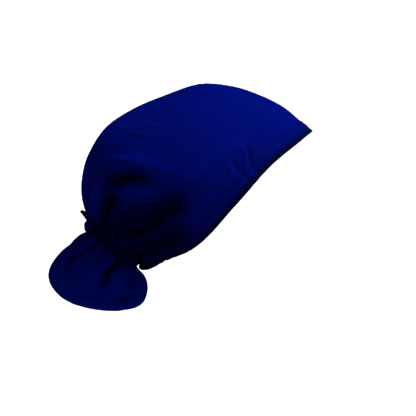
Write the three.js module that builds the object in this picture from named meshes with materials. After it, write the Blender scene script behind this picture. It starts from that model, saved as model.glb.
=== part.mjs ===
// Scrub cap with a hair pouch, as worn. A front panel runs from the forehead hem over the crown and down
// both sides, an oval back panel is set into it behind the crown, and both are gathered into a waist that a
// strap is tied round. A round pouch hangs from the waist behind the neck.
// Millimetres. +X is the wearer's front, +Y the wearer's left, +Z up. The origin is the inside of the crown,
// where the top of the head sits.
import * as THREE from "three";

const clothWall = 1.5;
const pieceGap = 0.35;
const roundSteps = 44;
const hem = { width: 9.6, wall: 2.3 };
const edging = { width: 3.8, wall: 1.9 };
const wrap = { from: 11.3, to: 12.7, wall: 2.2 };
const knot = { from: 11.4, to: 12.7, angle: 12, width: 14, wall: 5.8, edge: 1.2 };
const strap = { width: 9.5, wall: 1.5 };
const shortEnd = { from: 11.2, to: 10.55, angle: 8, clear: 0.6, lift: 3.2 };
const longEnd = { from: 12.95, to: 15.5, angle: 44, clear: 0.6, lift: 1.2 };

// The cloth is one bag, cut by stations from the hem line to the end of the pouch. Each station is an oval
// that stands across the middle plane, from its outer point (over the crown and down the back) to its inner
// point (at the nape, and on the pouch's front). bow bends the oval's long axis downwards at its middle.
const capStations = [
  { outerX: 87.5, outerZ: -33.2, halfWidth: 73.5 },
  { outerX: 71.5, outerZ: -20.2, halfWidth: 76 },
  { outerX: 49.7, outerZ: -9.2, halfWidth: 78 },
  { outerX: 24.9, outerZ: -1.4, halfWidth: 79.5 },
  { outerX: -5, outerZ: 0.5, halfWidth: 80 },
  { outerX: -35.8, outerZ: -9.1, halfWidth: 79 },
  { outerX: -65.7, outerZ: -21.7, halfWidth: 76 },
  { outerX: -90.5, outerZ: -38.7, halfWidth: 70 },
  { outerX: -106.3, outerZ: -63.2, halfWidth: 61 },
  { outerX: -111.9, outerZ: -84.1, halfWidth: 50 },
  { outerX: -112, outerZ: -102, halfWidth: 38 },
  { outerX: -107.5, outerZ: -118.5, halfWidth: 27 },
];
const pouchStations = [
  { outerX: -103.5, outerZ: -128.5, innerX: -64.8, innerZ: -162.5, halfWidth: 22 },
  { outerX: -106, outerZ: -134.6, innerX: -63.6, innerZ: -168.3, halfWidth: 25 },
  { outerX: -114.5, outerZ: -138.4, innerX: -60.5, innerZ: -172.5, halfWidth: 31.5 },
  { outerX: -124, outerZ: -146.3, innerX: -56, innerZ: -177, halfWidth: 37.5 },
  { outerX: -132, outerZ: -153.6, innerX: -54.3, innerZ: -181.5, halfWidth: 42 },
  { outerX: -139.5, outerZ: -162.5, innerX: -54, innerZ: -187, halfWidth: 44.5 },
  { outerX: -143.7, outerZ: -172.5, innerX: -55.2, innerZ: -193.5, halfWidth: 44 },
  { outerX: -141.8, outerZ: -183, innerX: -58.5, innerZ: -200, halfWidth: 38, bow: 0.5 },
  { outerX: -134, outerZ: -193.5, innerX: -66, innerZ: -204.5, halfWidth: 25, bow: 1.5 },
  { outerX: -122, outerZ: -200.9, innerX: -80, innerZ: -207.5, halfWidth: 0, bow: 2 },
];

// At the nape the cloth turns over a small arch, up from the hem and down into the waist.
const napeArch = { x: -60.4, z: -154.6, radius: 3.4, from: -8, to: 172 };
const waistStation = capStations.length;
const lastStation = capStations.length + pouchStations.length - 1;
const stations = [
  ...capStations.map((row, index) => {
    const share = index / (capStations.length - 1);
    const turn = THREE.MathUtils.degToRad(THREE.MathUtils.lerp(napeArch.from, napeArch.to, share));
    return {
      ...row,
      innerX: napeArch.x + napeArch.radius * Math.cos(turn),
      innerZ: napeArch.z + napeArch.radius * Math.sin(turn),
    };
  }),
  ...pouchStations,
];

// The hem line leaves the flat oval of the first station: it dips below it behind the ears. A row for each
// hemDipStep degrees round the oval, from the forehead to the nape. The dip fades by station hemDipFade.
const hemDip = [{ dip: 0 }, { dip: -2.5 }, { dip: -4 }, { dip: 2.5 }, { dip: 8.5 }, { dip: 1.5 }, { dip: 0 }];
const hemDipStep = 30;
const hemDipFade = 4.5;

// The seam round the back panel: how far down each side it lies, against the square root of the way from
// its top, behind the crown, to the waist.
const seamTop = 3.9;
const seamCourse = [{ angle: 0 }, { angle: 11 }, { angle: 28 }, { angle: 55 }, { angle: 48 }, { angle: 25 }];

// Main folds and dents, as lines in the side view: each row is a ridge, or a hollow if its height is
// negative, from one end to the other. A row lies on both sides of the cap.
const capFolds = [
  { x1: -84, z1: -128, x2: -27, z2: -100, width: 8, height: 2 },
  { x1: -76, z1: -137, x2: -26, z2: -112, width: 7, height: -2.5 },
  { x1: -84, z1: -90, x2: -54, z2: -86, width: 9, height: -2.5 },
  { x1: -90, z1: -106, x2: -84, z2: -124, width: 8, height: -3 },
  { x1: -85, z1: -71, x2: -38, z2: -74, width: 8, height: 1.2 },
  { x1: 28, z1: -54, x2: -23, z2: -90, width: 12, height: 1.5 },
];
const pouchFolds = [
  { x1: -82, z1: -163, x2: -106, z2: -190, width: 7, height: -3 },
  { x1: -72, z1: -167, x2: -84, z2: -192, width: 11, height: 1.5 },
  { x1: -94, z1: -156, x2: -122, z2: -178, width: 11, height: 1.5 },
];

const point = (x, y, z) => new THREE.Vector3(x, y, z);

// A column of a table at a place between its rows, on a smooth curve through them.
function smooth(rows, column, place) {
  const last = rows.length - 1;
  const i = Math.min(Math.max(Math.floor(place), 0), last - 1);
  const value = (k) => rows[k][column] ?? 0;
  const before = i > 0 ? value(i - 1) : 2 * value(0) - value(1);
  const after = i + 2 <= last ? value(i + 2) : 2 * value(last) - value(last - 1);
  const [a, b] = [value(i), value(i + 1)];
  const f = place - i;
  const slopeA = (b - before) / 2;
  const slopeB = (after - a) / 2;
  return (
    (2 * f ** 3 - 3 * f ** 2 + 1) * a +
    (f ** 3 - 2 * f ** 2 + f) * slopeA +
    (3 * f ** 2 - 2 * f ** 3) * b +
    (f ** 3 - f ** 2) * slopeB
  );
}

// A station's oval. angle runs from 0 at the outer point, down the wearer's right side, to half a turn at
// the inner point, and back up the left side.
function ovalPoint(station, angle) {
  const outer = point(smooth(stations, "outerX", station), 0, smooth(stations, "outerZ", station));
  const inner = point(smooth(stations, "innerX", station), 0, smooth(stations, "innerZ", station));
  const share = (1 - Math.cos(angle)) / 2;
  const at = outer.clone().lerp(inner, share);
  const chord = inner.clone().sub(outer).normalize();
  const back = point(-chord.z, 0, chord.x);
  const side = THREE.MathUtils.radToDeg(Math.abs(Math.atan2(Math.sin(angle), Math.cos(angle))));
  const dip = smooth(hemDip, "dip", side / hemDipStep) * Math.max(0, 1 - station / hemDipFade) ** 2;
  const bow = 4 * share * (1 - share) * smooth(stations, "bow", station);
  at.addScaledVector(back, dip - bow);
  at.y = -Math.max(0, smooth(stations, "halfWidth", station)) * Math.sin(angle);
  return at;
}

function outwardOn(surface, station, angle) {
  const step = 0.02;
  const from = Math.min(station, lastStation - step) - step;
  const along = surface(from + 2 * step, angle).sub(surface(from, angle));
  const round = surface(station, angle + step).sub(surface(station, angle - step));
  return along.cross(round).normalize();
}

// How far the folds lift the cloth at a point: a bell across each fold's line, fading near the middle plane
// and under the wrap.
function foldLift(station, at) {
  const folds = station < waistStation ? capFolds : pouchFolds;
  const offWaist = THREE.MathUtils.smoothstep(Math.abs(station - waistStation), 0.8, 2);
  const fade = offWaist * THREE.MathUtils.smoothstep(Math.abs(at.y), 4, 30);
  let lift = 0;
  for (const fold of folds) {
    const start = new THREE.Vector2(fold.x1, fold.z1);
    const span = new THREE.Vector2(fold.x2, fold.z2).sub(start);
    const here = new THREE.Vector2(at.x, at.z);
    const share = THREE.MathUtils.clamp(here.clone().sub(start).dot(span) / span.lengthSq(), 0, 1);
    const off = here.distanceTo(start.addScaledVector(span, share));
    lift += fold.height * Math.exp(-((off / fold.width) ** 2));
  }
  return lift * fade;
}

function bagPoint(station, angle) {
  const at = ovalPoint(station, angle);
  return at.addScaledVector(outwardOn(ovalPoint, station, angle), foldLift(station, at));
}

// The outward direction of the folded cloth. At the pouch's closing line it is straight down.
function bagOutward(station, angle) {
  if (station >= lastStation) return point(0, 0, -1);
  return outwardOn(bagPoint, station, angle);
}

// A closed wall on the bag: a grid of places, each {station, angle}, offset to its outer and inner faces by
// functions of the same grid. openFrom is the first row where the grid's two sides are cloth edges. Before
// it, they meet in one loop.
function wallOnBag({ rows, columns, place, outer, inner, openFrom = rows, closedEnd = false }) {
  const positions = [];
  const index = [];
  const corner = (layer, i, j) => (layer * (rows + 1) + i) * (columns + 1) + j;
  for (const offset of [outer, inner]) {
    for (let i = 0; i <= rows; i++) {
      for (let j = 0; j <= columns; j++) {
        const [down, round] = [i / rows, j / columns];
        const { station, angle } = place(down, round);
        const at = bagPoint(station, angle).addScaledVector(bagOutward(station, angle), offset(down, round));
        positions.push(at.x, at.y, at.z);
      }
    }
  }
  const quad = (a, b, c, d) => index.push(a, b, c, a, c, d);
  for (let i = 0; i < rows; i++) {
    for (let j = 0; j < columns; j++) {
      quad(corner(0, i, j), corner(0, i + 1, j), corner(0, i + 1, j + 1), corner(0, i, j + 1));
      quad(corner(1, i, j), corner(1, i, j + 1), corner(1, i + 1, j + 1), corner(1, i + 1, j));
    }
  }
  for (let j = 0; j < columns; j++) {
    quad(corner(0, 0, j), corner(0, 0, j + 1), corner(1, 0, j + 1), corner(1, 0, j));
    if (!closedEnd) {
      quad(corner(0, rows, j), corner(1, rows, j), corner(1, rows, j + 1), corner(0, rows, j + 1));
    }
  }
  for (let i = openFrom; i < rows; i++) {
    quad(corner(0, i, 0), corner(1, i, 0), corner(1, i + 1, 0), corner(0, i + 1, 0));
    quad(corner(0, i, columns), corner(0, i + 1, columns), corner(1, i + 1, columns), corner(1, i, columns));
  }
  const geometry = new THREE.BufferGeometry();
  geometry.setAttribute("position", new THREE.Float32BufferAttribute(positions, 3));
  geometry.setIndex(index);
  return geometry;
}

// The seam's angle at a share of the way from its top to the waist.
function seamAngle(share) {
  const place = Math.sqrt(share) * (seamCourse.length - 1);
  return THREE.MathUtils.degToRad(smooth(seamCourse, "angle", place));
}

// Rows close up towards the seam's top, where the panel is pointed.
const towardsWaist = (share) => 0.6 * share + 0.4 * share ** 2;
const panelEnd = waistStation - 0.04;
const gapTurn = (station) => pieceGap / 2 / Math.max(20, smooth(stations, "halfWidth", station));

function frontPanel() {
  const rowsBefore = 9;
  const rows = 28;
  const top = seamTop - 0.01;
  const place = (down, round) => {
    const row = down * rows;
    if (row <= rowsBefore) return { station: (top * row) / rowsBefore, angle: 2 * Math.PI * round };
    const share = towardsWaist((row - rowsBefore) / (rows - rowsBefore));
    const station = THREE.MathUtils.lerp(top, panelEnd, share);
    const edge = seamAngle(share) + gapTurn(station);
    return { station, angle: edge + round * (2 * Math.PI - 2 * edge) };
  };
  return wallOnBag({
    rows,
    columns: roundSteps,
    place,
    outer: () => clothWall / 2,
    inner: () => -clothWall / 2,
    openFrom: rowsBefore,
  });
}

function backPanel() {
  const place = (down, round) => {
    const share = towardsWaist(down);
    const station = THREE.MathUtils.lerp(seamTop + 0.02, panelEnd, share);
    const edge = Math.max(0, seamAngle(share) - gapTurn(station));
    return { station, angle: (2 * round - 1) * edge };
  };
  return wallOnBag({
    rows: 20,
    columns: 8,
    place,
    outer: () => clothWall / 2,
    inner: () => -clothWall / 2,
    openFrom: 0,
  });
}

function hairPouch() {
  const start = waistStation + 0.04;
  return wallOnBag({
    rows: 15,
    columns: 28,
    place: (down, round) => ({
      station: THREE.MathUtils.lerp(start, lastStation, down),
      angle: 2 * Math.PI * round,
    }),
    outer: () => clothWall / 2,
    inner: () => -clothWall / 2,
    closedEnd: true,
  });
}

const wrapInside = clothWall / 2 + 1.5 * pieceGap;
const wrapOutside = wrapInside + wrap.wall;

function tieWrap() {
  return wallOnBag({
    rows: 3,
    columns: 32,
    place: (down, round) => ({
      station: THREE.MathUtils.lerp(wrap.from, wrap.to, down),
      angle: 2 * Math.PI * round,
    }),
    outer: () => wrapOutside,
    inner: () => wrapInside,
  });
}

// A place on a patch of a width in millimetres, centred on an angle, between two stations.
function patchPlace({ from, to, angle }, width) {
  return (down, round) => {
    const station = THREE.MathUtils.lerp(from, to, down);
    const spread = width / smooth(stations, "halfWidth", station);
    return { station, angle: THREE.MathUtils.degToRad(angle) + (round - 0.5) * spread };
  };
}

// The knot swells to its full wall at its middle.
function tieKnot() {
  const swell = (down, round) => Math.sin(Math.PI * down) * Math.sin(Math.PI * round);
  const inside = wrapOutside + pieceGap;
  return wallOnBag({
    rows: 8,
    columns: 8,
    place: patchPlace(knot, knot.width),
    outer: (down, round) => inside + knot.edge + (knot.wall - knot.edge) * Math.sqrt(swell(down, round)),
    inner: () => inside,
    openFrom: 0,
  });
}

// A free end lies along the cloth and lifts off it towards its tip.
function tieEnd(end) {
  const lift = (down) => clothWall / 2 + end.clear + end.lift * down ** 2;
  const upwards = end.to < end.from;
  const place = patchPlace(end, strap.width);
  return wallOnBag({
    rows: 8,
    columns: 3,
    place: (down, round) => place(down, upwards ? 1 - round : round),
    outer: (down) => lift(down) + strap.wall,
    inner: lift,
    openFrom: 0,
  });
}

// A ring that hangs from the hem line: its profile is {drop, out}, down from the line and out from the cloth.
function ringBelowHem(profile) {
  const positions = [];
  const index = [];
  for (let j = 0; j < roundSteps; j++) {
    const angle = (2 * Math.PI * j) / roundSteps;
    const at = bagPoint(0, angle);
    const out = bagOutward(0, angle);
    const ahead = bagPoint(0, angle + 0.02).sub(bagPoint(0, angle - 0.02)).normalize();
    const down = out.clone().cross(ahead).normalize();
    for (const corner of profile) {
      const where = at.clone().addScaledVector(down, corner.drop).addScaledVector(out, corner.out);
      positions.push(where.x, where.y, where.z);
    }
  }
  const count = profile.length;
  for (let j = 0; j < roundSteps; j++) {
    const next = (j + 1) % roundSteps;
    for (let k = 0; k < count; k++) {
      const [a, b] = [j * count + k, j * count + ((k + 1) % count)];
      const [c, d] = [next * count + ((k + 1) % count), next * count + k];
      index.push(a, c, b, a, d, c);
    }
  }
  const geometry = new THREE.BufferGeometry();
  geometry.setAttribute("position", new THREE.Float32BufferAttribute(positions, 3));
  geometry.setIndex(index);
  return geometry;
}

// A flat strip's section with softened long edges, from one drop to another.
function stripProfile(from, to, wall) {
  const half = wall / 2;
  const soft = Math.min(half, (to - from) / 3);
  return [
    { drop: from, out: -half },
    { drop: from, out: half },
    { drop: to - soft, out: half },
    { drop: to, out: 0 },
    { drop: to - soft, out: -half },
  ];
}

const hemTop = 2 * pieceGap;
const edgingTop = hemTop + hem.width + pieceGap;

function named(name, geometry, colour, roughness) {
  const material = new THREE.MeshStandardMaterial({ color: colour, roughness, metalness: 0 });
  geometry.computeVertexNormals();
  const mesh = new THREE.Mesh(geometry, material);
  mesh.name = name;
  return mesh;
}

const royalBlue = 0x0a1a78;
const darkNavy = 0x05082e;

const cap = new THREE.Group();
cap.add(named("front_panel", frontPanel(), royalBlue, 0.7));
cap.add(named("back_panel", backPanel(), royalBlue, 0.7));
cap.add(named("hem_band", ringBelowHem(stripProfile(hemTop, hemTop + hem.width, hem.wall)), royalBlue, 0.7));
cap.add(
  named(
    "rim_edging",
    ringBelowHem(stripProfile(edgingTop, edgingTop + edging.width, edging.wall)),
    darkNavy,
    0.8,
  ),
);
cap.add(named("hair_pouch", hairPouch(), royalBlue, 0.7));
cap.add(named("tie_wrap", tieWrap(), royalBlue, 0.7));
cap.add(named("tie_knot", tieKnot(), royalBlue, 0.7));
cap.add(named("tie_end_short", tieEnd(shortEnd), royalBlue, 0.7));
cap.add(named("tie_end_long", tieEnd(longEnd), royalBlue, 0.7));

export default cap;
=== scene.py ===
# Royal blue stretch-knit scrub cap with a tied hair pouch, as worn: the cloth, hem, edging and tie round the
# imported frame. Lengths in the tables are millimetres and become metres when a mesh is made.
# +X is the wearer's front, +Y the wearer's left, +Z up.
import math
import bpy
import numpy as np
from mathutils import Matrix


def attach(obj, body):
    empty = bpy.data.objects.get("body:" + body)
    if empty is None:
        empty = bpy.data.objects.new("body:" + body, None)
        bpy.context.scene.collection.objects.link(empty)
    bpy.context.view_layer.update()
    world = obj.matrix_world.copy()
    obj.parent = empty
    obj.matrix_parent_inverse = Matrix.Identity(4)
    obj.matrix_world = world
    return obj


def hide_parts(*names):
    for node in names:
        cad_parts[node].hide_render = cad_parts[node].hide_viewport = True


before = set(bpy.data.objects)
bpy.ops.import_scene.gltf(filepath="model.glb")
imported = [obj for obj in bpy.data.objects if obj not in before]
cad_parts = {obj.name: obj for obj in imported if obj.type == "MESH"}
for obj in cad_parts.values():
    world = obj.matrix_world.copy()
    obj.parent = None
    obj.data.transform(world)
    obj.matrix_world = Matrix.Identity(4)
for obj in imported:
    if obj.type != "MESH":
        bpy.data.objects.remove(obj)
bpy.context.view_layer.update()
mm = 0.001
turn = 2 * math.pi

# The cloth is one bag cut by stations from the hem line to the end of the pouch, each an oval across the
# middle plane. The columns are outerX, outerZ, halfWidth on the cap.
capStations = np.array([
    (87.5, -33.2, 73.5),
    (71.5, -20.2, 76),
    (49.7, -9.2, 78),
    (24.9, -1.4, 79.5),
    (-5, 0.5, 80),
    (-35.8, -9.1, 79),
    (-65.7, -21.7, 76),
    (-90.5, -38.7, 70),
    (-106.3, -63.2, 61),
    (-111.9, -84.1, 50),
    (-112, -102, 38),
    (-107.5, -118.5, 27),
])
# outerX, outerZ, innerX, innerZ, halfWidth, bow on the pouch; bow bends the oval's long axis downwards
pouchStations = np.array([
    (-103.5, -128.5, -64.8, -162.5, 22, 0),
    (-106, -134.6, -63.6, -168.3, 25, 0),
    (-114.5, -138.4, -60.5, -172.5, 31.5, 0),
    (-124, -146.3, -56, -177, 37.5, 0),
    (-132, -153.6, -54.3, -181.5, 42, 0),
    (-139.5, -162.5, -54, -187, 44.5, 0),
    (-143.7, -172.5, -55.2, -193.5, 44, 0),
    (-141.8, -183, -58.5, -200, 38, 0.5),
    (-134, -193.5, -66, -204.5, 25, 1.5),
    (-122, -200.9, -80, -207.5, 0, 2),
])
# the inner points of the cap's ovals, as an arc in degrees round the nape
napeArch = {"x": -60.4, "z": -154.6, "radius": 3.4, "from": -8, "to": 172}
hemDip = np.array([0, -2.5, -4, 2.5, 8.5, 1.5, 0])  # a value for each 30 degrees, forehead to nape
hemDipFade = 4.5
seamTop = 3.9
# the seam in degrees down each side, at even steps of the root of the way to the waist
seamCourse = np.array([0, 11, 28, 55, 48, 25])
waist = len(capStations)
bagEnd = waist + len(pouchStations) - 1


def bagStations():
    # the cap's rows, filled out with inner points on the nape's arc and no bow, then the pouch's rows
    arch = np.radians(np.linspace(napeArch["from"], napeArch["to"], waist))
    inner = np.stack([napeArch["x"] + napeArch["radius"] * np.cos(arch),
                      napeArch["z"] + napeArch["radius"] * np.sin(arch)], 1)
    cap = np.hstack([capStations[:, :2], inner, capStations[:, 2:], np.zeros((waist, 1))])
    return np.vstack([cap, pouchStations])


stations = bagStations()


def smoothRows(rows, place):
    # a cubic through evenly spaced rows, whose slope at a row is half the step between its neighbours
    rows = np.asarray(rows, float)
    ends = np.concatenate([[2 * rows[0] - rows[1]], rows, [2 * rows[-1] - rows[-2]]])
    i = np.clip(np.floor(place).astype(int), 0, len(rows) - 2)
    f = place - i
    a, b = ends[i + 1], ends[i + 2]
    slopeA, slopeB = (b - ends[i]) / 2, (ends[i + 3] - a) / 2
    return ((2 * f**3 - 3 * f**2 + 1) * a + (f**3 - 2 * f**2 + f) * slopeA
            + (3 * f**2 - 2 * f**3) * b + (f**3 - f**2) * slopeB)


def ovalPoint(station, angle):
    # outer point towards inner point by (1 - cos angle) / 2, out sideways by halfWidth times sin angle,
    # moved back along the bag by the hem's dip and on along it by the bow
    station, angle = np.broadcast_arrays(np.asarray(station, float), np.asarray(angle, float))
    outerX, outerZ, innerX, innerZ, halfWidth, bow = (smoothRows(stations[:, k], station) for k in range(6))
    share = (1 - np.cos(angle)) / 2
    longX, longZ = innerX - outerX, innerZ - outerZ
    length = np.hypot(longX, longZ)
    side = sideDegrees(angle)
    dip = smoothRows(hemDip, side / 30) * np.clip(1 - station / hemDipFade, 0, None) ** 2
    back = dip - 4 * share * (1 - share) * bow
    return np.stack([outerX + longX * share - back * longZ / length,
                     -np.maximum(halfWidth, 0) * np.sin(angle),
                     outerZ + longZ * share + back * longX / length], -1)


def sideDegrees(angle):
    # degrees round from the middle of the crest line, 180 at the nape, alike on both sides
    return np.degrees(np.abs(np.arctan2(np.sin(angle), np.cos(angle))))


def unit(v):
    return v / np.maximum(np.linalg.norm(v, axis=-1, keepdims=True), 1e-9)


def outwardOf(station, angle):
    # the cross product of the steps along the bag and round it
    h = 0.02
    u = np.clip(station, 2 * h, bagEnd - 2 * h)
    along = ovalPoint(u + h, angle) - ovalPoint(u - h, angle)
    around = ovalPoint(u, angle + h) - ovalPoint(u, angle - h)
    return unit(np.cross(along, around))


def softStep(x, low, high):
    # 0 below low, 1 above high and a smooth cubic between
    t = np.clip((x - low) / (high - low), 0, 1)
    return t * t * (3 - 2 * t)


# the bag's own points, in which a fold's ends are looked up
lookStation, lookAngle = np.meshgrid(np.linspace(0, bagEnd, 421), np.linspace(0, turn, 361), indexing="ij")
lookPoints = ovalPoint(lookStation, lookAngle)

# Each row is one fold as a line on the cloth, seen from the side: side (-1 the wearer's right, 1 left),
# fromX, fromZ, toX, toZ, bend (the middle's shift, upwards on a fold drawn forwards), width and height, below
# 0 for a hollow
capFolds = [
    (-1, -87, -131, -15, -92, 3, 4.4, 4.6),
    (-1, -82, -137, -12, -98, 1.5, 5.5, -7.0),
    (-1, -87, -86, -46, -84, 5, 5.5, -6.2),
    (-1, -90, -94, -30, -97, 1, 3.6, 1.8),
    (-1, -86, -66, -20, -78, 1.5, 5.0, 3.0),
    (-1, -80, -96, -90, -128, -2, 7.0, -6.5),
    (-1, -93, -88, -101, -124, 0, 3.6, 3.2),
    (-1, -102, -88, -106, -118, 0, 2.5, -2.6),
    (-1, 33, -50, -26, -96, -2, 5.5, 2.3),
    (-1, 12, -76, -12, -112, -7, 12.0, 2.6),
    (-1, -72, -142, -22, -112, 3, 11.0, -4.5),
    (-1, 37, -52, 45, -77, 2, 2.1, -2.0),
    (-1, 33, -54, 41, -79, 2, 2.2, 1.8),
    (-1, 25, -60, 39, -82, -4, 2.2, -1.0),
    (-1, 20, -62, 34, -84, -4, 2.6, 1.0),
    (-1, -40, -118, -8, -112, 3, 5.0, 1.2),
    (-1, -62, -140, -30, -130, 3, 4.0, 1.3),
    (-1, -66, -146, -30, -140, 2, 3.0, -1.4),
    (1, -86, -132, -30, -104, 2, 4.5, 2.6),
    (1, -78, -136, -24, -112, 2, 5.0, -3.0),
    (1, -84, -96, -52, -92, 5, 5.5, -2.8),
    (1, -88, -74, -38, -80, 2, 5.0, 1.3),
    (1, -84, -100, -90, -124, -2, 6.0, -3.4),
    (1, -96, -92, -102, -124, 0, 3.6, 2.0),
    (1, 26, -50, -20, -92, 3, 7.0, 1.3),
    (1, 30, -54, 39, -74, 3, 2.4, -1.1),
    (1, -60, -141, -28, -132, 3, 4.0, 1.2),
]
pouchFolds = [
    (-1, -77, -155, -113, -196, 2, 2.4, -6.0),
    (-1, -74, -158, -100, -193, 2, 4.2, 3.4),
    (-1, -87, -156, -116, -182, 3, 6.0, 3.0),
    (-1, -121, -143, -139, -168, 2, 2.6, -2.6),
    (-1, -119, -147, -133, -172, 2, 2.6, 2.4),
    (-1, -112, -142, -128, -174, 2, 3.4, -3.0),
    (-1, -124, -190, -86, -195, 5, 3.4, -2.2),
    (-1, -100, -199, -74, -184, 2, 2.2, 3.2),
    (-1, -78, -184, -57, -189, 2, 2.0, 3.4),
    (-1, -84, -195, -64, -194, 1, 4.0, -3.4),
    (-1, -72, -163, -60, -182, 2, 3.4, 2.6),
    (-1, -70, -170, -66, -184, 1, 2.8, -2.2),
    (1, -84, -158, -112, -188, 2, 3.2, -3.0),
    (1, -76, -162, -98, -194, 2, 5.0, 2.0),
    (1, -100, -150, -130, -176, 2, 5.0, 1.6),
    (1, -116, -146, -134, -172, 2, 2.8, -1.5),
    (1, -120, -192, -84, -198, 4, 4.0, -1.3),
    (1, -74, -166, -62, -188, 2, 3.6, 1.5),
]
seamGathers = {"count": 17, "seed": 4, "from": 0.012, "to": 0.62, "length": (14, 34), "width": 1.35,
               "height": 0.62}
seamFold = {"depth": 1.9, "width": 0.8, "lipHeight": 0.2, "lipAt": 2.4, "lipWidth": 1.4, "paintedShade": 2.4}
foldReach = 22  # how far out of the cloth's own plane a fold's start still acts on it
lumps = {"cap": (26, 0.22), "pouch": (17, 0.9)}  # size, height
# reaches and places are in stations from the waist, capFrom in stations from the hem line
pleats = {"puffs": 11, "height": 1.5, "reach": 1.7, "farPuffs": 5, "farHeight": 1.2, "farReach": 3.2,
          "farPlace": 1.6, "capFrom": (7.2, 10)}
napeWaves = {"count": 46, "height": 0.9, "fromAngle": 128, "fullAngle": 153, "fade": 2.2, "close": 3.1,
             "closeSpread": 18}


def seamPlace(share):
    # the seam's station and angle at a share of the way from its top to the waist
    place = np.sqrt(share) * (len(seamCourse) - 1)
    return seamTop + (waist - seamTop) * share, np.radians(smoothRows(seamCourse, place))


def gatherFolds():
    # short ridges and hollows that start on the seam and run forwards, each a little lower at its far end
    rng = np.random.default_rng(seamGathers["seed"])
    rows = []
    for side in (-1, 1):
        for k in range(seamGathers["count"]):
            share = seamGathers["from"] + (seamGathers["to"] - seamGathers["from"]) * (
                (k + 0.6 * rng.random()) / seamGathers["count"]) ** 1.35
            station, angle = seamPlace(share)
            x, _, z = ovalPoint(station, angle)
            length = rng.uniform(*seamGathers["length"])
            drop = length * rng.uniform(0.02, 0.22)
            height = seamGathers["height"] * rng.uniform(0.6, 1.5)
            width = seamGathers["width"] * rng.uniform(0.75, 1.3)
            rows.append((side, x + 1, z, x + length, z - drop, 0.1 * length, width, height))
            rows.append((side, x + 1, z - 1.7 * width, x + 0.8 * length, z - drop - 1.8 * width,
                         0.1 * length, 0.8 * width, -0.9 * height))
    return rows


def foldLift(points, outward, rows, low, high):
    # the sum of bells across each fold's curved line; a fold swells and dies along its length as sine^0.7
    lift = np.zeros(points.shape[:-1])
    within = (lookStation >= low) & (lookStation <= high)
    for side, fromX, fromZ, toX, toZ, bend, width, height in rows:
        miss = np.where(within & (lookPoints[..., 1] * side >= 0), 0, 1e6)
        ends = []
        for x, z in ((fromX, fromZ), (toX, toZ)):
            away = (lookPoints[..., 0] - x) ** 2 + (lookPoints[..., 2] - z) ** 2 + miss
            ends.append(lookPoints[np.unravel_index(away.argmin(), away.shape)])
        span = ends[1] - ends[0]
        length = np.linalg.norm(span)
        heading = span / length
        offset = points - ends[0]
        run = offset @ heading
        share = np.clip(run / length, 0, 1)
        left = unit(np.cross(outward, heading))
        across = np.sum(offset * left, -1) + side * bend * 4 * share * (1 - share)
        past = run - share * length
        depth = np.sum(offset * outward, -1)
        bell = np.exp(-(across / width) ** 2 - (past / width) ** 2 - (depth / foldReach) ** 2)
        lift += height * bell * np.sin(math.pi * np.clip(0.12 + 0.82 * share, 0, 1)) ** 0.7
    return lift


def puffs(angle, count, shift):
    # rounded puffs with sharp hollows between: the size of a sine whose phase wanders
    wander = 0.9 * np.sin(2 * angle + shift) + 0.5 * np.sin(5 * angle + 2 * shift + 1)
    return 1.7 * np.abs(np.sin(count * angle + wander)) - 1


def pleatLift(station, angle):
    # small puffs beside the waist, larger ones further off, fading under the tie itself
    off = np.abs(station - waist)
    near = pleats["height"] * np.exp(-(off / pleats["reach"]) ** 2) * puffs(angle, pleats["puffs"], 0.4)
    farPuffs = puffs(angle, pleats["farPuffs"], 1.9 + 0.8 * (station > waist))
    far = pleats["farHeight"] * np.exp(-((off - pleats["farPlace"]) / pleats["farReach"]) ** 2) * farPuffs
    inner = 0.35 + 0.65 * softStep(np.cos(angle), -0.9, 0.2)  # the short cloth at the nape has smaller ones
    onCap = np.where(station < waist, softStep(station, *pleats["capFrom"]), 1)
    return (near + far) * softStep(off, 0.25, 1.1) * np.where(station < waist, inner, 1) * onCap


def napeLift(station, angle):
    # even waves that the edging draws up behind the neck, and a bell that closes the cloth against the nape
    side = sideDegrees(angle)
    strong = softStep(side, napeWaves["fromAngle"], napeWaves["fullAngle"])
    where = strong * np.exp(-station / napeWaves["fade"])
    waves = napeWaves["height"] * where * np.sin(napeWaves["count"] * angle + 1.1 * np.sin(4 * angle))
    closed = np.exp(-((side - 180) / napeWaves["closeSpread"]) ** 2)
    return waves + napeWaves["close"] * closed * softStep(station, 0, 1)


def lumpLift(points, size, height):
    # a few crossing waves in space, so that no stretch of cloth is dead even
    x, y, z = (points[..., k] / size for k in range(3))
    return height * (np.sin(x + 1.3 * np.sin(0.7 * z + 1)) * np.sin(1.1 * y + 0.6) + 0.6 * np.sin(
        1.7 * z - 0.8 * x + 2) * np.cos(1.4 * y + 1.2 * x))


seamShares = np.linspace(0, 1, 700) ** 1.6
seamLine = ovalPoint(*seamPlace(seamShares))
seamLines = np.concatenate([seamLine, seamLine * (1, -1, 1)])


def seamDistance(points):
    # the least distance to the seam, worked out in slices of rows
    flat = points.reshape(-1, 3)
    near = np.empty(len(flat))
    for start in range(0, len(flat), 4000):
        part = flat[start:start + 4000]
        gap = np.sum(part**2, 1)[:, None] + np.sum(seamLines**2, 1) - 2 * part @ seamLines.T
        near[start:start + 4000] = np.sqrt(np.maximum(gap.min(1), 0))
    return near.reshape(points.shape[:-1])


allCapFolds = capFolds + gatherFolds()


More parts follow.
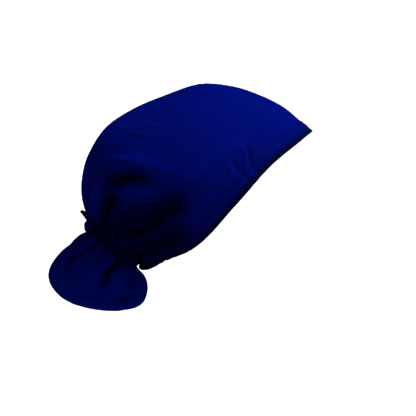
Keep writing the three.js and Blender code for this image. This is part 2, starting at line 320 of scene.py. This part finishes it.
def clothPoint(station, angle):
    # the oval bag, lifted along its outward direction by folds, pleats, waves, lumps and the seam's roll; the
    # second result is the lift again, deepened at the seam, for the painted shade in the colour
    station, angle = np.broadcast_arrays(np.asarray(station, float), np.asarray(angle, float))
    base = ovalPoint(station, angle)
    outward = outwardOf(station, angle)
    lift = pleatLift(station, angle)
    onPouch = station.min() >= waist
    offWaist = softStep(np.abs(station - waist), 0.6, 1.6)
    if onPouch:
        lift = lift + offWaist * foldLift(base, outward, pouchFolds, waist + 0.5, bagEnd)
        lift += offWaist * lumpLift(base, *lumps["pouch"])
        lift *= softStep(bagEnd - station, 0, 1.5)
        deep = lift
    else:
        lift = lift + offWaist * foldLift(base, outward, allCapFolds, 0, waist - 0.5)
        lift += napeLift(station, angle)
        lift += offWaist * lumpLift(base, *lumps["cap"])
        seam = seamDistance(base)
        crease = np.exp(-(seam / seamFold["width"]) ** 2) * softStep(waist - station, 0, 0.6)
        lip = np.exp(-((seam - seamFold["lipAt"]) / seamFold["lipWidth"]) ** 2)
        lift += seamFold["lipHeight"] * lip - seamFold["depth"] * crease
        # painted shade: the seam's line is darkened in colour beyond its real crease
        deep = lift - seamFold["paintedShade"] * np.exp(-(seam**2))
    return base + outward * lift[..., None], deep


# painted shade: the colour is darkened where the close folds beside the waist would lie in shadow, as lines
# seen from the side: fromX, fromZ, toX, toZ, reach, strength on the wearer's right
paintedShadeLines = [
    (-96, -132, -28, -106, 16, 0.88),
    (-64, -152, -26, -136, 19, 0.9),
    (-84, -98, -92, -126, 9, 0.6),
    (-80, -82, -56, -82, 8, 0.4),
    (-106, -128, -66, -160, 8, 0.93),
]
# how much of the painted shade shows on the wearer's left, and on the hem, edging and tie
leftShade = 0.6  # how much of it shows on the wearer's left
strapShade = 0.9  # how much of it shows on the hem, edging and tie
# painted shade: the cloth's colour is darkened in its hollows by their depth
liftShade = {"slope": 0.17, "least": 0.12, "most": 1.1}  # hollows are darkened by their depth


def paintedGatherShade(points):
    # painted shade: the strongest of the bells round each line
    shade = np.zeros(points.shape[:-1])
    for fromX, fromZ, toX, toZ, reach, strength in paintedShadeLines:
        start, span = np.array([fromX, fromZ]), np.array([toX - fromX, toZ - fromZ])
        offset = points[..., [0, 2]] - start
        share = np.clip(offset @ span / (span @ span), 0, 1)
        away = np.linalg.norm(offset - share[..., None] * span, axis=-1)
        shade = np.maximum(shade, strength * np.exp(-((away / reach) ** 2.4)))
    return shade * np.where(points[..., 1] < 0, 1, leftShade)


def gridNormals(points, loops):
    # the cross product of the grid's two differences; loops closes the grid's second direction on itself
    down = np.gradient(points, axis=0)
    if loops:
        wide = np.concatenate([points[:, -2:-1], points, points[:, 1:2]], 1)
        across = (wide[:, 2:] - wide[:, :-2]) / 2
    else:
        across = np.gradient(points, axis=1)
    return unit(np.cross(down, across))


def makeMesh(name, points, faceArrays, uv=None, shade=None):
    # points in millimetres; faceArrays hold rows of vertex numbers, one array for each face size
    used = np.unique(np.concatenate([f.ravel() for f in faceArrays]))
    renumber = np.zeros(len(points), int)
    renumber[used] = np.arange(len(used))
    corners = np.concatenate([renumber[f].ravel() for f in faceArrays])
    sizes = np.concatenate([np.full(len(f), f.shape[1]) for f in faceArrays])
    mesh = bpy.data.meshes.new(name)
    mesh.vertices.add(len(used))
    mesh.vertices.foreach_set("co", (points[used] * mm).ravel())
    mesh.loops.add(len(corners))
    mesh.loops.foreach_set("vertex_index", corners)
    mesh.polygons.add(len(sizes))
    mesh.polygons.foreach_set("loop_start", np.concatenate([[0], np.cumsum(sizes)[:-1]]))
    mesh.polygons.foreach_set("use_smooth", np.ones(len(sizes), bool))
    mesh.update(calc_edges=True)
    mesh.validate()
    if uv is not None:
        layer = mesh.uv_layers.new(name="cloth")
        layer.data.foreach_set("uv", uv[used][corners].ravel())
    if shade is not None:
        mesh.attributes.new("shade", "FLOAT", "POINT").data.foreach_set("value", shade[used])
    made = bpy.data.objects.new(name, mesh)
    bpy.context.scene.collection.objects.link(made)
    return made


def gridQuads(ids):
    return np.stack([ids[:-1, :-1], ids[1:, :-1], ids[1:, 1:], ids[:-1, 1:]], -1).reshape(-1, 4)


def edgeFaces(outer, inner, step):
    # one face for each step of the fine edge against one segment of the coarse edge
    fine = np.stack([outer[k:len(outer) - step + k:step] for k in range(step + 1)], 1)
    return np.hstack([fine, inner[1:, None], inner[:-1, None]])


def clothWall(name, points, lift, thickness, step=3, openFrom=None, foldedEnd=False):
    # a wall with a fine outer face and an inner face of every step-th point, closed along its edges;
    # openFrom is the row where a grid that starts as closed loops opens along a seam, None if it never does
    rows, columns = points.shape[:2]
    loops = openFrom is None
    outward = gridNormals(points, loops)
    if foldedEnd:
        outward[-1] = (0, 0, -1)
    if openFrom:
        closed = gridNormals(points, True)
        outward[:openFrom, 0] = outward[:openFrom, -1] = closed[:openFrom, 0]
    outer = points + outward * thickness / 2
    inner = points - outward * thickness / 2
    ids = np.arange(rows * columns).reshape(rows, columns)
    join = rows if loops else openFrom
    ids[:join, -1] = ids[:join, 0]
    if foldedEnd:
        half = columns // 2
        ids[-1, half + 1:] = ids[-1, columns - 1 - half - 1::-1][:columns - half - 1]
    low = ids[::step, ::step] + rows * columns
    faces = [gridQuads(ids), gridQuads(low)[:, ::-1]]
    faces.append(edgeFaces(ids[0], low[0], step)[:, ::-1])
    if not foldedEnd:
        faces.append(edgeFaces(ids[-1], low[-1], step))
    if not loops:
        top = openFrom
        faces.append(edgeFaces(ids[top:, 0], low[top // step:, 0], step))
        faces.append(edgeFaces(ids[top:, -1], low[top // step:, -1], step)[:, ::-1])
    stepDown = np.linalg.norm(np.diff(points, axis=0, prepend=points[:1]), axis=-1).cumsum(0)
    stepAcross = np.linalg.norm(np.diff(points, axis=1, prepend=points[:, :1]), axis=-1).cumsum(1)
    middle = stepAcross[:, columns // 2:columns // 2 + 1]
    uv = np.stack([stepAcross - middle, stepDown], -1).reshape(-1, 2) * mm
    # painted shade: darker in hollows by their lift, and beside the waist by the painted gather shade
    paintedShade = np.clip(1 + liftShade["slope"] * lift, liftShade["least"], liftShade["most"])
    paintedShade = (paintedShade * (1 - paintedGatherShade(points))).ravel()
    both = np.concatenate([outer.reshape(-1, 3), inner.reshape(-1, 3)])
    return makeMesh(name, both, faces, np.concatenate([uv, uv]), np.concatenate([paintedShade, paintedShade]))


# thickness is in millimetres, and the gaps are in stations, each a piece's own share of a slit
panel = {"thickness": 1.2, "rows": 288, "rowsBeforeSeam": 108, "columns": 288, "waistGap": 0.03,
         "crownGap": 0.004}
seamTurn = 0.001  # half the gap at the seam, in radians round the bag
backPiece = {"rows": 240, "columns": 150, "crownGap": 0.006}
pouchPiece = {"rows": 240, "columns": 324}


def towardsWaist(share):
    # rows set closer together at the crown, where the seam turns sharply
    return 0.6 * share + 0.4 * share**2


def makeFrontPanel():
    # rows right round the bag from the hem to the seam's top, then round under the nape from seam to seam
    rows, top = panel["rows"], panel["rowsBeforeSeam"]
    row = np.arange(rows + 1)[:, None]
    round_ = np.linspace(0, 1, panel["columns"] + 1)[None]
    share = towardsWaist(np.clip((row - top) / (rows - top), 0, 1))
    behind = seamPlace(share)[0] - panel["waistGap"] * share
    station = np.where(row <= top, (seamTop - panel["crownGap"]) * row / top, behind)
    edge = np.where(row <= top, 0, seamPlace(share)[1] + seamTurn)
    angle = edge + round_ * (turn - 2 * edge)
    points, lift = clothPoint(station, angle)
    return clothWall("front_panel_cloth", points, lift, panel["thickness"], openFrom=top)


def makeBackPanel():
    # rows across the back from the seam on one side to the other, each as wide as the seam is there
    row = np.linspace(0, 1, backPiece["rows"] + 1)[:, None]
    round_ = np.linspace(-1, 1, backPiece["columns"] + 1)[None]
    share = towardsWaist(row)
    station, edge = seamPlace(share)
    edge = np.maximum(edge - seamTurn, 2 * seamTurn)
    station = station + backPiece["crownGap"] * (1 - share) - panel["waistGap"] * share
    points, lift = clothPoint(station, round_ * edge)
    return clothWall("back_panel_cloth", points, lift, panel["thickness"], openFrom=0)


def makePouch():
    # rows right round the bag from the waist to its end, where the last row is folded flat on itself
    row = np.linspace(0, 1, pouchPiece["rows"] + 1)[:, None]
    round_ = np.linspace(0, 1, pouchPiece["columns"] + 1)[None]
    start = waist + panel["waistGap"]
    station = start + (bagEnd - start) * row
    points, lift = clothPoint(station, turn * round_)
    return clothWall("hair_pouch_cloth", points, lift, panel["thickness"], foldedEnd=True)


# drops are millimetres down from the cloth's lower edge
hemLine = {"around": 1260, "top": -0.8, "overlap": 0.9}
hem = {"width": 11.1, "wall": 2.3, "across": 44, "puckers": 208, "height": 0.6, "groove": 0.4,
       "closeNape": 3.0, "closeSpread": 15, "closeEnd": 12.5}
stitch = {"drops": (2.5, 8.9), "pitch": 2.5, "length": 1.75, "radius": 0.36}
edging = {"width": 5.0, "wall": 1.9, "across": 26, "ribs": 330, "ribHeight": 0.14, "closeShare": 0.85}


def power(x, exponent):
    # the size of x raised to the exponent, with x's own sign
    return np.sign(x) * np.abs(x) ** exponent


def hemFrames():
    # the point, the outward, onward and downward directions at even angles along the cloth's lower edge
    angle = np.linspace(0, turn, hemLine["around"], endpoint=False)
    at = clothPoint(0.0, angle)[0]
    out = outwardOf(np.zeros_like(angle), angle)
    ahead = unit(np.roll(at, -1, 0) - np.roll(at, 1, 0))
    run = np.linalg.norm(np.diff(at, axis=0, prepend=at[-1:]), axis=1).cumsum()
    down = unit(np.cross(out, ahead))
    return {"angle": angle, "at": at, "out": out, "ahead": ahead, "down": down, "run": run}


def tubeMesh(name, points, closedPath, run, width, bare=0.0):
    # rows of closed rings, the first joined to the last or both filled; bare is how far each row is out of
    # the painted shade of the gathers
    rows, columns = points.shape[:2]
    ids = np.arange(rows * columns).reshape(rows, columns)
    ids = np.hstack([ids, ids[:, :1]])
    if closedPath:
        ids = np.vstack([ids, ids[:1]])
    faces = [gridQuads(ids)]
    if not closedPath:
        faces += [ids[:1, :-1][:, ::-1], ids[-1:, :-1]]
    across = np.abs(np.linspace(-1, 1, columns))
    uv = np.stack(np.broadcast_arrays(width * across[None], run[:, None]), -1).reshape(-1, 2) * mm
    shade = 1 - strapShade * paintedGatherShade(points) * (1 - bare)
    return makeMesh(name, points.reshape(-1, 3), faces, uv, shade.ravel())


def hemRing(name, frames, top, size, relief):
    # a section rounded as a superellipse, its outer face raised by relief(angle, drop)
    turnBy = np.linspace(-math.pi / 2, 1.5 * math.pi, size["across"], endpoint=False)
    drop = top + size["width"] / 2 * (1 - power(np.cos(turnBy), 0.55))
    out = size["wall"] / 2 * power(np.sin(turnBy), 0.6)
    raised = relief(frames["angle"][:, None], drop[None]) * np.clip(np.sin(turnBy), 0, 1) ** 0.4
    points = (frames["at"][:, None] + frames["down"][:, None] * drop[None, :, None]
              + frames["out"][:, None] * (out[None] + raised)[..., None])
    return tubeMesh(name, points, True, frames["run"], size["width"])


def napeFold(side):
    # a bell round the middle of the nape
    return hem["closeNape"] * np.exp(-((side - 180) / hem["closeSpread"]) ** 2)


def hemRelief(angle, drop):
    # uneven puckers, weaker at the stitch rows, a groove at each row, and a fold that closes against the nape
    phase = hem["puckers"] * angle / 2 + 1.4 * np.sin(17 * angle) + 0.8 * np.sin(41 * angle + 1)
    side = sideDegrees(angle)
    strong = 0.55 + 0.45 * np.sin(7 * angle + 0.5) ** 2 + 0.5 * softStep(side, 110, 150)
    grooves = sum(np.exp(-((drop - row) / 0.55) ** 2) for row in stitch["drops"])
    puckers = hem["height"] * strong * (np.abs(np.sin(phase)) - 0.5) * (1 - 0.5 * grooves)
    return puckers - hem["groove"] * grooves + napeFold(side) * softStep(hem["closeEnd"] - drop, 0, 2)


def edgingRelief(angle, drop):
    # fine ribs across the elastic, alike at every drop, and most of the hem's fold against the nape
    side = sideDegrees(angle)
    ribs = edging["ribHeight"] * np.sin(edging["ribs"] * angle)
    return ribs + edging["closeShare"] * napeFold(side)


def makeStitches(frames):
    # one lens of thread for each stitch, laid along the hem in its groove
    count = int(frames["run"][-1] / stitch["pitch"])
    places = (np.arange(count) + 0.5) * stitch["pitch"]
    index = np.searchsorted(frames["run"], places) % hemLine["around"]
    at, out, ahead, down = (frames[k][index] for k in ("at", "out", "ahead", "down"))
    along = np.linspace(0, math.pi, 7)[:, None]
    round_ = np.linspace(0, turn, 8, endpoint=False)[None]
    radius = stitch["radius"] * np.sin(along) ** 0.6
    lens = (stitch["length"] / 2 * -np.cos(along), radius * np.cos(round_), radius * np.sin(round_))
    onward, below, raised = (part[None, ..., None] for part in lens)
    blocks = []
    for drop in stitch["drops"]:
        rise = hem["wall"] / 2 + hemRelief(frames["angle"][index], drop) + 0.12
        centre = at + down * drop + out * rise[:, None]
        blocks.append(centre[:, None, None] + ahead[:, None, None] * onward
                      + down[:, None, None] * below + out[:, None, None] * raised)
    points = np.concatenate(blocks)
    ids = np.arange(points[..., 0].size).reshape(points.shape[:3])
    ids[:, 0], ids[:, -1] = ids[:, 0, :1], ids[:, -1, :1]
    ids = np.concatenate([ids, ids[:, :, :1]], 2)
    near, far = ids[:, 1:-2], ids[:, 2:-1]
    quads = np.stack([near[..., :-1], far[..., :-1], far[..., 1:], near[..., 1:]], -1).reshape(-1, 4)
    starts = np.stack([ids[:, 0, :-1], ids[:, 1, :-1], ids[:, 1, 1:]], -1).reshape(-1, 3)
    ends = np.stack([ids[:, -2, 1:], ids[:, -2, :-1], ids[:, -1, 1:]], -1).reshape(-1, 3)
    return makeMesh("hem_stitches", points.reshape(-1, 3), [quads[:, ::-1], starts[:, ::-1], ends[:, ::-1]])


# stations and degrees place the tie on the bag; half is in stations on the wrap and millimetres on the ends
wrap = {"around": 640, "across": 56, "half": 0.66, "middle": 2.35, "wall": 1.0, "crease": 0.42,
        "radius": 28.8, "width": 13}
knot = {"station": 12.05, "angle": 12, "out": 5.0, "long": 5.6, "wide": 7.4, "deep": 2.9,
        "rows": 61, "columns": 120}
ends = {
    "tie_end_short": {"from": 11.6, "to": 10.62, "angle": 8, "half": 4.5, "tip": 7, "lift": 2.3, "point": 0.5,
                      "swell": 1.9},
    "tie_end_long": {"from": 12.4, "to": 15.5, "angle": 44, "half": 4.7, "tip": 12, "lift": 1.8, "point": 0.4,
                     "swell": 0},
}
strap = {"rows": 64, "across": 36, "wall": 1.3, "clear": 1.3}


def halfWidthAt(station):
    # the bag's half width, never less than 12
    return np.maximum(smoothRows(stations[:, 4], np.asarray(station, float)), 12)


def makeWrap():
    # a strap round the waist, creased along its length by waves that wander as they go round
    angle = np.linspace(0, turn, wrap["around"], endpoint=False)[:, None]
    section = np.linspace(-math.pi / 2, 1.5 * math.pi, wrap["across"], endpoint=False)[None]
    across = power(np.cos(section), 0.6)
    station = waist + wrap["half"] * across * (1 + 0.1 * np.sin(5 * angle + 1) + 0.05 * np.sin(13 * angle))
    wander = 0.9 * np.sin(2 * angle) + 0.6 * np.sin(5 * angle + 2)
    crease = np.abs(np.sin(4.2 * across + wander)) + 0.35 * np.sin(26 * angle + 3 * across)
    out = wrap["middle"] + wrap["wall"] * power(np.sin(section), 0.7) + wrap["crease"] * (
        crease - 0.5) * np.clip(np.sin(section), 0, 1) ** 0.5
    points = ovalPoint(station, angle) + outwardOf(station, angle) * out[..., None]
    return tubeMesh("tie_wrap_cloth", points[:, ::-1], True, wrap["radius"] * angle[:, 0], wrap["width"])


def makeKnot():
    # a squashed ball with two slanting furrows where the strap crosses itself
    station, angle = np.float64(knot["station"]), np.float64(math.radians(knot["angle"]))
    out = outwardOf(station, angle)
    along = unit(ovalPoint(station + 0.05, angle) - ovalPoint(station - 0.05, angle))
    round_ = np.cross(out, along)
    centre = ovalPoint(station, angle) + out * knot["out"]
    rows, columns = knot["rows"], knot["columns"]
    tilt = np.linspace(0, math.pi, rows)[:, None]
    spin = np.linspace(0, turn, columns, endpoint=False)[None]
    a, b, c = np.cos(tilt), np.sin(tilt) * np.cos(spin), np.sin(tilt) * np.sin(spin)
    furrow = np.exp(-((a + 0.55 * b - 0.28) / 0.13) ** 2) + np.exp(-((a - 0.5 * b + 0.34) / 0.12) ** 2)
    fine = 0.05 * np.sin(9 * a + 5 * b + 2 * np.sin(3 * b)) + 0.03 * np.sin(17 * b - 6 * a)
    size = 1 - 0.26 * furrow * (c > -0.2) + fine
    points = (centre + round_ * (knot["wide"] * power(a, 0.9) * size)[..., None]
              + along * (knot["long"] * b * size)[..., None]
              + out * (knot["deep"] * c * size)[..., None])
    points[0], points[-1] = points[0].mean(0), points[-1].mean(0)
    ids = np.arange(rows * columns).reshape(rows, columns)
    ids[0], ids[-1] = ids[0, 0], ids[-1, 0]
    ids = np.hstack([ids, ids[:, :1]])
    faces = [gridQuads(ids[1:-1]), np.stack([ids[0, :-1], ids[1, :-1], ids[1, 1:]], -1),
             np.stack([ids[-2, 1:], ids[-2, :-1], ids[-1, 1:]], -1)]
    uv = np.stack(np.broadcast_arrays(8 * spin, 8 * tilt), -1).reshape(-1, 2) * mm
    # painted shade: the colour is darkened in the furrows
    shade = np.clip(1 - 0.5 * furrow, 0.4, 1)
    return makeMesh("tie_knot_cloth", points.reshape(-1, 3), faces, uv, shade.ravel())


def makeEnd(name, end):
    # a flat strap on the cloth from one station to another, lifting and narrowing to its tip
    down = np.linspace(0, 1, strap["rows"])[:, None]
    section = np.linspace(-math.pi / 2, 1.5 * math.pi, strap["across"], endpoint=False)[None]
    station = end["from"] + (end["to"] - end["from"]) * down
    left = 1 - down
    narrow = np.clip(left * end["tip"], 0, 1) ** end["point"]
    half = end["half"] * np.maximum(narrow, 0.06)
    across = power(np.cos(section), 0.75) * half
    angle = math.radians(end["angle"]) + (across + 0.7 * np.sin(3 * down)) / halfWidthAt(station)
    base = clothPoint(station, angle)[0]
    curl = 0.5 * down * (across / end["half"]) ** 2 + 0.22 * np.sin(2.1 * across + 4 * down)
    thick = strap["wall"] / 2 * np.clip(narrow * 1.6, 0.35, 1) * (1 + end["swell"] * down)
    wall = thick * power(np.sin(section), 0.8)
    out = strap["clear"] + end["lift"] * down**2 + curl + wall
    points = base + outwardOf(station, angle) * out[..., None]
    if end["to"] > end["from"]:
        points = points[:, ::-1]
    run = np.linalg.norm(np.diff(points[:, 0], axis=0, prepend=points[:1, 0]), axis=1).cumsum()
    return tubeMesh(name + "_cloth", points, False, run, 2 * end["half"], bare=softStep(down, 0.15, 0.5))


# metres, and degrees above level
view = {"distance": 1.8, "height": 4, "wide": 0.3827, "aimX": 0.0028, "aimZ": -0.1126, "sensor": 36}


def makeCamera():
    # out to the wearer's right, raised by the height, with a lens that shows the wide stretch from there
    data = bpy.data.cameras.new("camera")
    data.sensor_width = view["sensor"]
    data.lens = view["sensor"] * view["distance"] / view["wide"]
    camera = bpy.data.objects.new("camera", data)
    rise = math.radians(view["height"])
    camera.location = (view["aimX"], -view["distance"] * math.cos(rise),
                       view["aimZ"] + view["distance"] * math.sin(rise))
    camera.rotation_euler = (math.pi / 2 - rise, 0, 0)
    bpy.context.scene.collection.objects.link(camera)
    bpy.context.scene.camera = camera


lamps = {
    "key": {"from": (0.5, -0.22, 0.84), "away": 1.2, "radius": 0.14, "cone": 26, "power": 195},
    "back": {"from": (-0.75, 0.15, 0.62), "away": 1.5, "radius": 0.4, "cone": 0, "power": 11},
    "low": {"from": (0.45, -0.88, -0.12), "away": 1.4, "radius": 0.3, "cone": 0, "power": 11},
}
lampAim = np.array([-0.02, 0, -0.1])
spotBlend = 0.6
worldStrength = 0.22
studio = {"flat": 2.2, "flatShare": 0.3, "bend": 0.9, "below": 0.55, "around": 97, "rows": 40}


def makeLights():
    # a spot for a lamp with a cone and a disk for one without, turned to face the aim, in an even white world
    for name, lamp in lamps.items():
        data = bpy.data.lights.new(name, "SPOT" if lamp["cone"] else "AREA")
        if lamp["cone"]:
            data.spot_size = math.radians(lamp["cone"])
            data.spot_blend = spotBlend
            data.shadow_soft_size = lamp["radius"]
        else:
            data.shape = "DISK"
            data.size = 2 * lamp["radius"]
        data.energy = lamp["power"]
        light = bpy.data.objects.new(name, data)
        way = unit(np.array(lamp["from"]))
        light.location = lampAim + lamp["away"] * way
        light.rotation_euler = (math.acos(way[2]), 0, math.atan2(-way[1], -way[0]) - math.pi / 2)
        bpy.context.scene.collection.objects.link(light)
    world = bpy.data.worlds.new("studio")
    world.use_nodes = True
    world.node_tree.nodes["Background"].inputs["Color"].default_value = (1, 1, 1, 1)
    world.node_tree.nodes["Background"].inputs["Strength"].default_value = worldStrength
    bpy.context.scene.world = world


def makeFloor():
    # a round floor that sweeps up into a low pale wall: flat, then a quarter circle
    flat, flatShare, bend = studio["flat"], studio["flatShare"], studio["bend"]
    around = np.linspace(0, turn, studio["around"])[:, None]
    run = np.linspace(0, 1, studio["rows"])[None]
    swept = np.clip((run - flatShare) / (1 - flatShare), 0, 1) * math.pi / 2
    radius = np.where(run < flatShare, run / flatShare * flat, flat + bend * np.sin(swept))
    height = bend * (1 - np.cos(swept)) - studio["below"]
    points = np.stack(np.broadcast_arrays(radius * np.cos(around), radius * np.sin(around), height), -1)
    ids = np.arange(points[..., 0].size).reshape(points.shape[:2])
    ids[-1] = ids[0]
    made = makeMesh("studio_floor", points.reshape(-1, 3) / mm, [gridQuads(ids)[:, ::-1]])
    return made


makeCamera()
makeLights()
floor = makeFloor()
bpy.context.scene.view_settings.view_transform = "Standard"
print("camera, lights and floor are in place")


class Wire:
    # a shader socket that can stand in sums; make() adds any other node to its tree
    def __init__(self, tree, socket):
        self.tree, self.socket = tree, socket

    def make(self, kind, inputs, out=0, **settings):
        node = self.tree.nodes.new(kind)
        for key, value in settings.items():
            setattr(node, key, value)
        for key, value in inputs.items():
            if isinstance(value, Wire):
                self.tree.links.new(value.socket, node.inputs[key])
            else:
                node.inputs[key].default_value = value
        return Wire(self.tree, node.outputs[out])

    def maths(self, operation, first, second=0.0):
        return self.make("ShaderNodeMath", {0: first, 1: second}, operation=operation)

    def __add__(self, other):
        return self.maths("ADD", self, other)

    def __mul__(self, other):
        return self.maths("MULTIPLY", self, other)

    def __sub__(self, other):
        return self.maths("SUBTRACT", self, other)

    def __rsub__(self, other):
        return self.maths("SUBTRACT", other, self)

    def __truediv__(self, other):
        return self.maths("DIVIDE", self, other)

    __radd__ = __add__
    __rmul__ = __mul__

    def wave(self):
        return self.maths("SINE", self * turn)

    def fromMiddle(self):
        return self.maths("ABSOLUTE", self.maths("FRACT", self) - 0.5)


def knitCloth(name, cloth):
    # stockinette: columns of slanting stitches in the cloth's own coordinates, over a soft cloudy unevenness
    material = bpy.data.materials.new(name)
    material.use_nodes = True
    tree = material.node_tree
    shader = tree.nodes["Principled BSDF"]
    uv = Wire(tree, tree.nodes.new("ShaderNodeTexCoord").outputs["UV"])
    body = Wire(tree, tree.nodes.new("ShaderNodeTexCoord").outputs["Object"])
    parts = uv.make("ShaderNodeSeparateXYZ", {0: uv})
    across, along = parts, Wire(tree, parts.socket.node.outputs[1])
    offMiddle = (across / cloth["pitch"]).fromMiddle()
    legs = (along / cloth["row"] + 1.1 * offMiddle).wave()
    columns = 1 - 2 * offMiddle
    cloudy = body.make("ShaderNodeTexNoise", {"Vector": body, "Scale": 85.0, "Detail": 3.0}, out="Fac")
    fibres = body.make("ShaderNodeTexNoise", {"Vector": body, "Scale": 1900.0, "Detail": 2.0}, out="Fac")
    height = 0.55 * columns + 0.25 * legs + 0.35 * fibres
    soft = body.make("ShaderNodeBump", {"Strength": 0.35, "Distance": 0.0016, "Height": cloudy})
    bump = body.make("ShaderNodeBump", {"Strength": cloth["bump"], "Distance": 0.00016, "Height": height,
                                        "Normal": soft})
    tree.links.new(bump.socket, shader.inputs["Normal"])
    # painted shade: the shade attribute darkens the base colour in hollows, at the seam, in the knot's
    # furrows and beside the waist
    paintedShading = body.make("ShaderNodeAttribute", {}, out="Fac", attribute_name="shade")
    amount = paintedShading * (0.86 + 0.12 * columns + 0.16 * (fibres - 0.5) + 0.1 * (cloudy - 0.5))
    colour = body.make("ShaderNodeMix", {0: amount, 6: (0, 0, 0, 1), 7: (*cloth["colour"], 1)}, out=2,
                       data_type="RGBA")
    tree.links.new(colour.socket, shader.inputs["Base Color"])
    shader.inputs["Roughness"].default_value = cloth["roughness"]
    shader.inputs["Specular IOR Level"].default_value = cloth["gloss"]
    shader.inputs["Specular Tint"].default_value = (*cloth["tint"], 1)
    shader.inputs["Sheen Weight"].default_value = cloth["sheen"]
    shader.inputs["Sheen Roughness"].default_value = 0.45
    shader.inputs["Sheen Tint"].default_value = (*cloth["tint"], 1)
    return material


cloths = {
    "cap_knit": {"colour": (0.0001, 0.0012, 0.047), "tint": (0, 0.04, 1), "pitch": 0.0009, "row": 0.0007,
                 "bump": 0.5, "roughness": 0.62, "gloss": 0, "sheen": 0.02},
    "hem_knit": {"colour": (0.0001, 0.0011, 0.044), "tint": (0, 0.04, 1), "pitch": 0.0009, "row": 0.0007,
                 "bump": 0.5, "roughness": 0.62, "gloss": 0, "sheen": 0.02},
    # the elastic's own dark navy, darkened further as painted shade for the shadow under the hem's rolled
    # edge
    "edge_elastic": {"colour": (0.0004, 0.0008, 0.009), "tint": (0.1, 0.2, 1), "pitch": 0.0012, "row": 0.0006,
                     "bump": 0.6, "roughness": 0.75, "gloss": 0, "sheen": 0.02},
    "tie_cloth": {"colour": (0.0001, 0.001, 0.04), "tint": (0, 0.04, 1), "pitch": 0.0009, "row": 0.0007,
                  "bump": 0.5, "roughness": 0.65, "gloss": 0, "sheen": 0.02},
    "thread": {"colour": (0.0005, 0.003, 0.07), "tint": (0.1, 0.2, 1), "pitch": 0.0004, "row": 0.0003,
               "bump": 0.3, "roughness": 0.5, "gloss": 0.02, "sheen": 0.0},
}


def paleFloor():
    # pale all over, with an emission that glows more towards the far wall as painted light
    material = bpy.data.materials.new("pale_floor")
    material.use_nodes = True
    tree = material.node_tree
    shader = tree.nodes["Principled BSDF"]
    body = Wire(tree, tree.nodes.new("ShaderNodeTexCoord").outputs["Object"])
    reach = body.make("ShaderNodeVectorMath", {0: body}, out="Value", operation="LENGTH")
    glow = body.make("ShaderNodeMapRange", {"Value": reach, "From Min": 0.7, "From Max": 1.9, "To Min": 0.08,
                                            "To Max": 0.8}, interpolation_type="SMOOTHSTEP")
    grey = body.make("ShaderNodeCombineColor", {0: glow, 1: glow, 2: glow})
    tree.links.new(grey.socket, shader.inputs["Emission Color"])
    shader.inputs["Emission Strength"].default_value = 1
    shader.inputs["Base Color"].default_value = (0.85, 0.85, 0.85, 1)
    shader.inputs["Roughness"].default_value = 0.9
    shader.inputs["Specular IOR Level"].default_value = 0
    return material


floor.data.materials.append(paleFloor())
materials = {name: knitCloth(name, cloth) for name, cloth in cloths.items()}
print("materials are made")


def place(piece, node, slot, material=None):
    # gives a piece its cloth, picked by the slot's name unless a material is named, and its body, and hides
    # the node it stands for
    piece.data.materials.append(materials[material or slot])
    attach(piece, "root")
    if node:
        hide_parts(node)
    print(piece.name, len(piece.data.polygons), "faces")
    return piece


frames = hemFrames()
hemTop = hemLine["top"]
edgingTop = hemTop + hem["width"] - hemLine["overlap"]
front = place(makeFrontPanel(), "front_panel", "cap_knit")
backPanel = place(makeBackPanel(), "back_panel", "cap_knit")
pouch = place(makePouch(), "hair_pouch", "cap_knit")
band = place(hemRing("hem_band_cloth", frames, hemTop, hem, hemRelief), "hem_band", "hem_knit")
stitches = place(makeStitches(frames), None, "hem_knit", "thread")
elastic = hemRing("rim_edging_elastic", frames, edgingTop, edging, edgingRelief)
place(elastic, "rim_edging", "edge_elastic")
place(makeWrap(), "tie_wrap", "tie_cloth")
place(makeKnot(), "tie_knot", "tie_cloth")
for name, end in ends.items():
    place(makeEnd(name, end), name, "tie_cloth")
